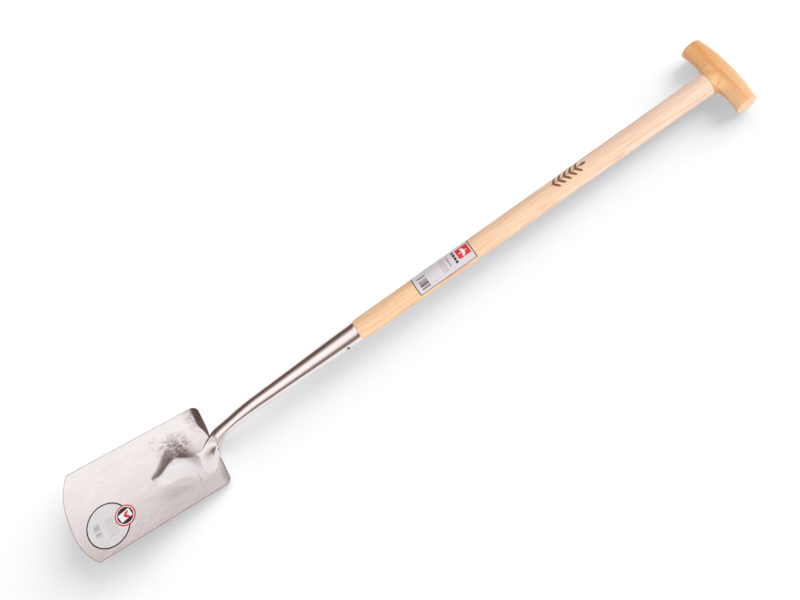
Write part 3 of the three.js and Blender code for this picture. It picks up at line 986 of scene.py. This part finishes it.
def label_film():
    paint = Paint("label_film", Roughness=0.4)
    place = paint.flat()
    cloud = paint.noise(place, (30, 12, 12), detail=3.0)
    base = paint.mix(cloud, colour(208, 200, 204), colour(226, 217, 221))
    rim, left_rim = 1.6, 1.3
    inner_low = (SHAFT_LABEL_START + rim, SHAFT_RADIUS * SHAFT_LABEL_FROM - 1)
    inner_high = (SHAFT_LABEL_END - rim, SHAFT_RADIUS * SHAFT_LABEL_TO - left_rim)
    base = paint.mix(paint.box(place, inner_low, inner_high), colour(52, 44, 46), base)
    red = paint.box(place, (196, -9.7), (218, 7.9))
    base = paint.tint(base, red, colour(226, 42, 46))
    leaf = [paint.box(place, (199, -0.9), (214, 0.1))]
    for arc, turn in ((-3.2, 55), (2.6, -55)):
        leaf.append(paint.oval(place, (207, arc), (4.6, 2.2), math.radians(turn)))
    base = paint.tint(base, paint.union(leaf), colour(246, 240, 240))
    black = [paint.box(place, (188.6, y), (192.8, y + 4.3)) for y in (-10.5, -5.0, 0.5, 6.0)]
    base = paint.tint(base, paint.union(black), colour(36, 32, 34))
    heading = print_lines(paint, place, (176, -9), (183, 9), 1)
    base = paint.tint(base, heading, colour(110, 104, 108), 0.7)
    small = print_lines(paint, place, (164, -12), (174, 12.6), 3)
    base = paint.tint(base, small, colour(120, 114, 118), 0.6)
    bars = barcode(paint, place, (122, -6), (137, 14.5), 0.9)
    base = paint.tint(base, bars, colour(78, 68, 72), 0.85)
    paint.set("Base Color", base)
    paint.set("Roughness", paint.fade(cloud, 0.3, 0.7, 0.32, 0.48))
    paint.set("Normal", paint.bump(paint.noise(place, (8, 5, 5), detail=2.0), 0.05))
    return paint.material


def sticker_film():
    paint = Paint("sticker_film", Roughness=0.42)
    place = paint.flat()
    out = paint.vector("LENGTH", place)
    cloud = paint.noise(place, (22, 16, 16), detail=3.0)
    base = paint.mix(cloud, colour(214, 210, 211), colour(230, 225, 226))
    lines = print_lines(paint, place, (-14, -21), (4, 12), 5)
    base = paint.tint(base, lines, colour(150, 144, 146), 0.45)
    bars = barcode(paint, place, (14, -12), (24, 12), 0.8)
    base = paint.tint(base, bars, colour(116, 108, 110), 0.5)
    ring_width = 2.2
    ring = paint.math("GREATER_THAN", out, STICKER_RADIUS - ring_width)
    base = paint.tint(base, ring, colour(48, 36, 38))
    paint.set("Base Color", base)
    paint.set("Roughness", paint.fade(cloud, 0.3, 0.7, 0.36, 0.5))
    paint.set("Normal", paint.bump(paint.noise(place, (9, 7, 7), detail=2.0), 0.05))
    return paint.material


def badge_film():
    paint = Paint("badge_film", Roughness=0.35)
    place = paint.flat()
    out = paint.vector("LENGTH", place)
    cloud = paint.noise(place, (6, 6, 6), detail=2.0)
    red, white, black = colour(222, 44, 50), colour(246, 242, 242), colour(34, 30, 32)
    white_to, black_to = 15.2, 13.8
    base = paint.mix(paint.math("LESS_THAN", out, white_to), red, white)
    base = paint.tint(base, paint.math("LESS_THAN", out, black_to), black)
    card = paint.box(place, (-10.5, -7), (10.5, 7), math.radians(-12))
    base = paint.tint(base, card, colour(244, 238, 238))
    leaf = [paint.oval(place, (-2, 2.6 * side), (5.4, 2.2), math.radians(-35 * side)) for side in (-1, 1)]
    base = paint.tint(base, paint.union(leaf), red)
    paint.set("Base Color", base)
    paint.set("Roughness", paint.fade(cloud, 0.3, 0.7, 0.28, 0.42))
    paint.set("Normal", paint.bump(cloud, 0.02))
    return paint.material


# ---- Stage ----

def floor():
    """A pale sheet far larger than the view."""
    paint = Paint("floor", Roughness=0.9)
    grain = paint.noise(paint.place(), (900, 900, 900))
    paint.set("Base Color", paint.mix(grain, colour(214, 214, 215), colour(216, 216, 217)))
    size = 12.0
    mesh = bpy.data.meshes.new("floor")
    corners = [(-size, -size, 0), (size, -size, 0), (size, size, 0), (-size, size, 0)]
    mesh.from_pydata(corners, [], [(0, 1, 2, 3)])
    mesh.materials.append(paint.material)
    sheet = show("floor", mesh)
    sheet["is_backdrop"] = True
    return sheet


def studio():
    """What the steel reflects: a bright ceiling between dark bands. The camera sees white."""
    world = bpy.data.worlds.new("studio")
    world.use_nodes = True
    nodes = Nodes(world.node_tree)
    nodes.tree.nodes.clear()
    x, y, z = nodes.axes(nodes.node("TexCoord").outputs["Generated"])
    lean = nodes.math("DIVIDE", nodes.math("ARCTAN2", nodes.math("MULTIPLY", y, -1.0), z), math.tau)
    # The bands bend round at both ends of the spade: x is the part of the direction that runs along it
    no_bend, blade_end, blade_bend = -0.29, 0.1, 0.125
    grip_end, grip_bend = 0.12, -0.36
    toward_blade = nodes.math("SUBTRACT", nodes.math("MINIMUM", x, blade_end), no_bend)
    toward_blade = nodes.math("MULTIPLY", toward_blade, blade_bend)
    toward_grip = nodes.math("MAXIMUM", nodes.math("SUBTRACT", x, grip_end), 0.0)
    toward_grip = nodes.math("MULTIPLY", toward_grip, grip_bend)
    lean = nodes.math("ADD", lean, nodes.math("ADD", toward_blade, toward_grip))
    ramp = nodes.node("ValToRGB")
    nodes.feed(ramp.inputs[0], nodes.math("ADD", lean, 0.5))
    # Angle from straight up in degrees, toward -Y positive, and the colour seen there
    bands = (
        (-180, (0.90, 0.89, 0.88)),
        (-144, (0.90, 0.89, 0.87)),
        (-118, (0.26, 0.19, 0.16)),
        (-74, (0.115, 0.074, 0.060)),
        (-48, (0.145, 0.100, 0.082)),
        (-35, (0.23, 0.178, 0.163)),
        (-26, (0.46, 0.40, 0.39)),
        (-17, (0.80, 0.73, 0.72)),
        (-4, (1.02, 0.995, 0.995)),
        (6, (1.04, 1.03, 1.03)),
        (30, (1.00, 0.985, 0.98)),
        (44, (0.90, 0.80, 0.79)),
        (54, (0.44, 0.34, 0.32)),
        (64, (0.23, 0.17, 0.155)),
        (78, (0.22, 0.165, 0.145)),
        (92, (0.34, 0.26, 0.22)),
        (104, (0.68, 0.60, 0.55)),
        (118, (0.96, 0.90, 0.85)),
        (180, (0.90, 0.87, 0.84)),
    )
    elements = ramp.color_ramp.elements
    while len(elements) < len(bands):
        elements.new(0.5)
    for element, (angle, shade) in zip(elements, bands):
        element.position = angle / 360 + 0.5
        element.color = (*shade, 1.0)

    def backdrop(shade, strength=1.0):
        made = nodes.node("Background")
        nodes.feed(made.inputs[0], shade)
        nodes.feed(made.inputs[1], strength)
        return made.outputs[0]

    def choose(kind, usual, special):
        made = nodes.node("MixShader")
        for entry, value in zip(made.inputs, (rays[kind], usual, special)):
            nodes.feed(entry, value)
        return made.outputs[0]

    rays = nodes.node("LightPath").outputs
    glow = backdrop(ramp.outputs[0], 1.1)
    fill = backdrop((0.52, 0.522, 0.528, 1.0))
    white = backdrop((1.0, 1.0, 1.0, 1.0))
    seen = choose("Is Camera Ray", choose("Is Diffuse Ray", glow, fill), white)
    nodes.feed(nodes.node("OutputWorld").inputs[0], seen)
    bpy.context.scene.world = world


def lamp(name, toward, strength, spread, floor_sheet, lights_floor):
    """A soft distant light from the direction toward, for the floor alone or for everything but the floor."""
    light = bpy.data.lights.new(name, "SUN")
    light.energy = strength
    light.angle = math.radians(spread)
    lamp_object = bpy.data.objects.new(name, light)
    lamp_object.rotation_mode = "QUATERNION"
    lamp_object.rotation_quaternion = Vector(toward).to_track_quat("Z", "Y")
    lamp_object.visible_glossy = False
    bpy.context.scene.collection.objects.link(lamp_object)
    group = bpy.data.collections.new(name + "_linking")
    group.objects.link(floor_sheet)
    group.collection_objects[0].light_linking.link_state = "INCLUDE" if lights_floor else "EXCLUDE"
    lamp_object.light_linking.receiver_collection = group


def camera():
    """The photo's viewpoint, fitted to the shaft and the corners of the blade."""
    azimuth, elevation, roll = (math.radians(degrees) for degrees in (17.48, 66.89, -51.89))
    aim = Vector((0.0216, 0.0032, 0.03))
    distance = 1.203
    back = Vector((
        math.sin(azimuth) * math.cos(elevation),
        -math.cos(azimuth) * math.cos(elevation),
        math.sin(elevation),
    ))
    data = bpy.data.cameras.new("camera")
    data.lens = 33.912
    data.sensor_width = 36.0
    view = bpy.data.objects.new("camera", data)
    view.rotation_mode = "QUATERNION"
    level = (-back).to_track_quat("-Z", "Y")
    view.rotation_quaternion = level @ Matrix.Rotation(roll, 4, "Z").to_quaternion()
    view.location = aim + back * distance
    bpy.context.scene.collection.objects.link(view)
    bpy.context.scene.camera = view


blade()
blade_disc(
    "round_sticker", STICKER_U, STICKER_Y, STICKER_RADIUS, LABEL_LIFT,
    sticker_film(), "blade_sticker",
)
blade_disc(
    "round_badge", BADGE_U, BADGE_Y, BADGE_RADIUS, 2 * LABEL_LIFT + LABEL_THICKNESS,
    badge_film(), "blade_badge",
)
socket()
rivet()
shaft()
shaft_label()
grip()
floor_sheet = floor()
studio()
# The first two lamps make the shadows on the floor, the third lights the spade
lamp("side_light", (0.25, 0.90, 1.0), 1.4, 60, floor_sheet, lights_floor=True)
lamp("end_light", (1.0, 0.12, 0.5), 4.75, 52, floor_sheet, lights_floor=True)
lamp("front_light", (0.15, -0.60, 1.0), 1.72, 50, floor_sheet, lights_floor=False)
# The spade takes none of the fill light from the floor, which would make its shadow too dark
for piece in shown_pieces():
    piece.visible_diffuse = False
camera()
bpy.context.scene.view_settings.view_transform = "Standard"
